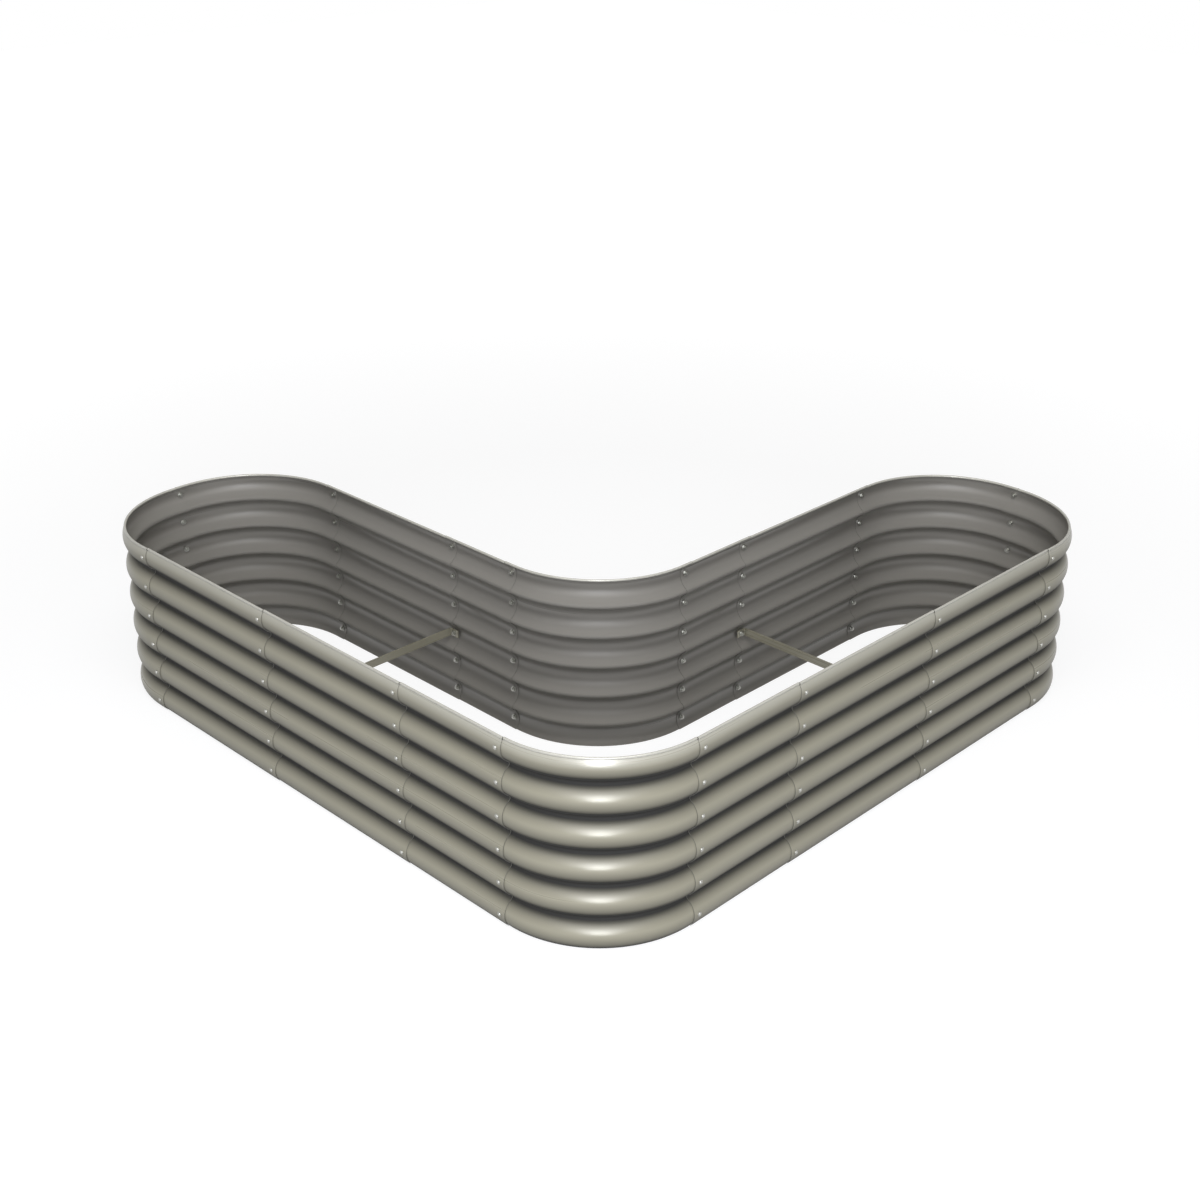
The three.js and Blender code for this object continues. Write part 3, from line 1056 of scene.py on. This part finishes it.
@dataclass
class CrossBraces:
    """Flat bars across the arms, set on edge, with both ends bent to lie on the walls."""

    plan: BedPlan
    coating: bpy.types.Material
    bar_height: float = 20 * MM
    thickness: float = 3 * MM
    tab: float = 28 * MM
    bend: float = 2 * MM
    tab_seat: float = 4.45 * MM
    bend_steps: int = 6
    edge: float = 0.5 * MM
    edge_steps: int = 2
    edge_from: float = math.radians(60)
    crease: float = math.radians(40)

    def outline(self) -> list[Vector]:
        """Plan of the right brace.

        Returns:
            Points around it, from the front corner.
        """
        near, far = self.tab_seat, self.plan.arm_width - self.tab_seat
        outer = self.bend + self.thickness
        turn_x = self.plan.brace_column + self.tab / 2 - outer
        end_x = self.plan.brace_column - self.tab / 2

        def arc(y: float, radius: float, start: float, end: float) -> list[Vector]:
            """Points around one bend."""
            angles = [start + (end - start) * i / self.bend_steps for i in range(self.bend_steps + 1)]
            return [Vector((turn_x + radius * math.cos(a), y + radius * math.sin(a), 0)) for a in angles]

        quarter = math.pi / 2
        return [
            Vector((end_x, near, 0)),
            *arc(near + outer, outer, -quarter, 0),
            *arc(far - outer, outer, 0, quarter),
            Vector((end_x, far, 0)),
            Vector((end_x, far - self.thickness, 0)),
            *arc(far - outer, self.bend, quarter, 0),
            *arc(near + outer, self.bend, 0, -quarter),
            Vector((end_x, near + self.thickness, 0)),
        ]

    def build(self) -> list[bpy.types.Object]:
        """Builds, dresses and hands over both braces.

        Returns:
            The braces.
        """
        middle = self.plan.arm_length / 2
        bottom = self.plan.rib.crest(self.plan.brace_rib) - self.bar_height / 2
        shift = Vector((-middle, -middle, bottom))
        pieces = []
        for arm in Arm:
            made = bmesh.new()
            corners = [p + shift for p in self.outline()]
            if arm is Arm.LEFT:
                corners = [p.yxz for p in corners]
            face = made.faces.new([made.verts.new(p) for p in corners])
            raised = bmesh.ops.extrude_face_region(made, geom=[face])
            top = [v for v in raised["geom"] if isinstance(v, bmesh.types.BMVert)]
            bmesh.ops.translate(made, verts=top, vec=(0, 0, self.bar_height))
            bmesh.ops.recalc_face_normals(made, faces=made.faces)
            rim = [e for e in made.edges if e.calc_face_angle(0.0) > self.edge_from]
            bmesh.ops.bevel(
                made, geom=rim, offset=self.edge, segments=self.edge_steps, affect="EDGES"
            )
            mesh = bpy.data.meshes.new(f"{arm.value}_brace_bar")
            made.to_mesh(mesh)
            made.free()
            mesh.materials.append(self.coating)
            bar = add_object(mesh.name, mesh)
            pieces.append(hand_over(bar, Slot.COATED, self.crease, f"{arm.value}_cross_brace"))
        return pieces


# ---------------------------------------------------------------- studio


@dataclass(frozen=True)
class PhotoCamera:
    """The camera, fitted to the photographed outlines and bolts. Angles are degrees."""

    place: tuple[float, float, float] = (-2.6845, -2.6562, 2.0055)
    heading: float = 44.607
    pitch: float = -25.527
    roll: float = 0.2215
    lens_mm: float = 50.0
    film_mm: float = 36.0

    def build(self) -> None:
        """Makes the camera and gives it to the scene."""
        heading, pitch, roll = (math.radians(a) for a in (self.heading, self.pitch, self.roll))
        level = Vector((math.cos(heading), math.sin(heading), 0))
        ahead = level * math.cos(pitch) + Vector((0, 0, math.sin(pitch)))
        side = Vector((level.y, -level.x, 0))
        over = side.cross(ahead)
        right = side * math.cos(roll) + over * math.sin(roll)
        up = right.cross(ahead)
        data = bpy.data.cameras.new("photo_camera")
        data.lens = self.lens_mm
        data.sensor_width = self.film_mm
        data.sensor_fit = "HORIZONTAL"
        camera = bpy.data.objects.new("photo_camera", data)
        axes = Matrix((right, up, -ahead)).transposed().to_4x4()
        camera.matrix_world = Matrix.Translation(self.place) @ axes
        bpy.context.scene.collection.objects.link(camera)
        bpy.context.scene.camera = camera


@dataclass(frozen=True)
class SoftBox:
    """A rectangular lamp, placed by direction in degrees and distance from what it lights."""

    name: str
    elevation: float
    distance: float
    width: float
    depth: float
    power: float
    tint: str = "FFFFFF"
    azimuth: float = 225.0
    target: tuple[float, float, float] = (-0.2, -0.2, 0.2)

    def build(self) -> None:
        """Makes the lamp."""
        turn, lift = math.radians(self.azimuth), math.radians(self.elevation)
        away = Vector((math.cos(turn) * math.cos(lift), math.sin(turn) * math.cos(lift), math.sin(lift)))
        data = bpy.data.lights.new(self.name, "AREA")
        data.shape = "RECTANGLE"
        data.size = self.width
        data.size_y = self.depth
        data.energy = self.power
        data.color = linear(self.tint)[:3]
        lamp = bpy.data.objects.new(self.name, data)
        lamp.location = Vector(self.target) + away * self.distance
        lamp.rotation_euler = away.to_track_quat("Z", "Y").to_euler()
        bpy.context.scene.collection.objects.link(lamp)


@dataclass
class Studio:
    """Plain pale floor, plain soft light and a white surround."""

    floor_half: float = 12.0
    floor_tone: str = "7C7C7C"
    floor_roughness: float = 0.9
    # The floor's own white, as the eye sees it, at the two ends of its fade from the middle.
    floor_glow: tuple[float, float] = (0.82, 1.0)
    floor_fade: tuple[float, float] = (1.6, 5.0)
    surround_light: float = 0.14
    boxes: tuple[SoftBox, ...] = (
        SoftBox("overhead_box", elevation=64, distance=3.8, width=3.2, depth=2.4, power=98),
        SoftBox("front_box", elevation=19, distance=4.6, width=1.2, depth=3.0, power=146, tint="F2F5FF"),
        SoftBox("wide_box", elevation=19, distance=5.0, width=4.4, depth=2.0, power=42, tint="F2F5FF"),
    )

    def background_ray(self, graph: NodeGraph) -> bpy.types.NodeSocket:
        """Tells rays that look at the background straight, by reflection or through glass.

        Args:
            graph: The tree that the nodes go into.

        Returns:
            1 for these rays, 0 for those that carry light to the bed.
        """
        rays = graph.add("ShaderNodeLightPath").node.outputs
        seen = graph.add(MATH, (rays["Is Camera Ray"], rays["Is Glossy Ray"]), operation="MAXIMUM")
        return graph.add(MATH, (seen, rays["Is Transmission Ray"]), operation="MAXIMUM")

    def build_world(self) -> None:
        """White to the eye and in reflections, plain grey as a light."""
        world = bpy.data.worlds.new("white_surround")
        world.use_nodes = True
        graph = NodeGraph(world.node_tree)
        background = world.node_tree.nodes["Background"].inputs
        ray = self.background_ray(graph)
        strength = {"Value": ray, "To Min": self.surround_light, "To Max": 1.0}
        background["Color"].default_value = WHITE
        graph.feed(background["Strength"], graph.add(MAP_RANGE, strength))
        bpy.context.scene.world = world

    def build_floor(self) -> None:
        """A pale floor that keeps the object's shadow and fades into the surround."""
        mesh = bpy.data.meshes.new("studio_floor")
        half = self.floor_half
        corners = [(-half, -half, 0), (half, -half, 0), (half, half, 0), (-half, half, 0)]
        mesh.from_pydata(corners, [], [(0, 1, 2, 3)])
        # Matt paper gives the eye an even white without any sheen, marked by the shadow alone.
        material = bpy.data.materials.new("matt_paper_floor")
        material.use_nodes = True
        graph = NodeGraph(material.node_tree)
        shader = material.node_tree.nodes["Principled BSDF"].inputs
        shader["Base Color"].default_value = linear(self.floor_tone)
        shader["Roughness"].default_value = self.floor_roughness
        place = graph.add("ShaderNodeTexCoord", output="Object")
        reach = graph.add(VECTOR_MATH, (place,), operation="LENGTH")
        (near, far), (dim, full) = self.floor_fade, self.floor_glow
        fade = {"Value": reach, "From Min": near, "From Max": far, "To Min": dim, "To Max": full}
        paper = (self.background_ray(graph), graph.add(MAP_RANGE, fade))
        shader["Emission Color"].default_value = WHITE
        graph.feed(shader["Emission Strength"], graph.add(MATH, paper, operation="MULTIPLY"))
        mesh.materials.append(material)
        add_object("studio_floor", mesh)

    def build(self) -> None:
        """Builds the world, the floor and the lamps."""
        self.build_world()
        self.build_floor()
        for box in self.boxes:
            box.build()
        bpy.context.scene.view_settings.view_transform = "Standard"


# ---------------------------------------------------------------- scene


def main() -> None:
    """Builds the scene."""
    logging.basicConfig(level=logging.INFO, format="%(name)s %(message)s")
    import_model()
    Studio().build()
    PhotoCamera().build()
    plan = BedPlan()
    coating = CoatedSteel().material()
    plating = ZincPlate().material()
    for assembly in (WallPanels(plan, coating), CrossBraces(plan, coating), Fasteners(plan, plating)):
        for piece in assembly.build():
            log.info("%s: %d faces", piece.name, len(piece.data.polygons))


if __name__ == "__main__":
    main()
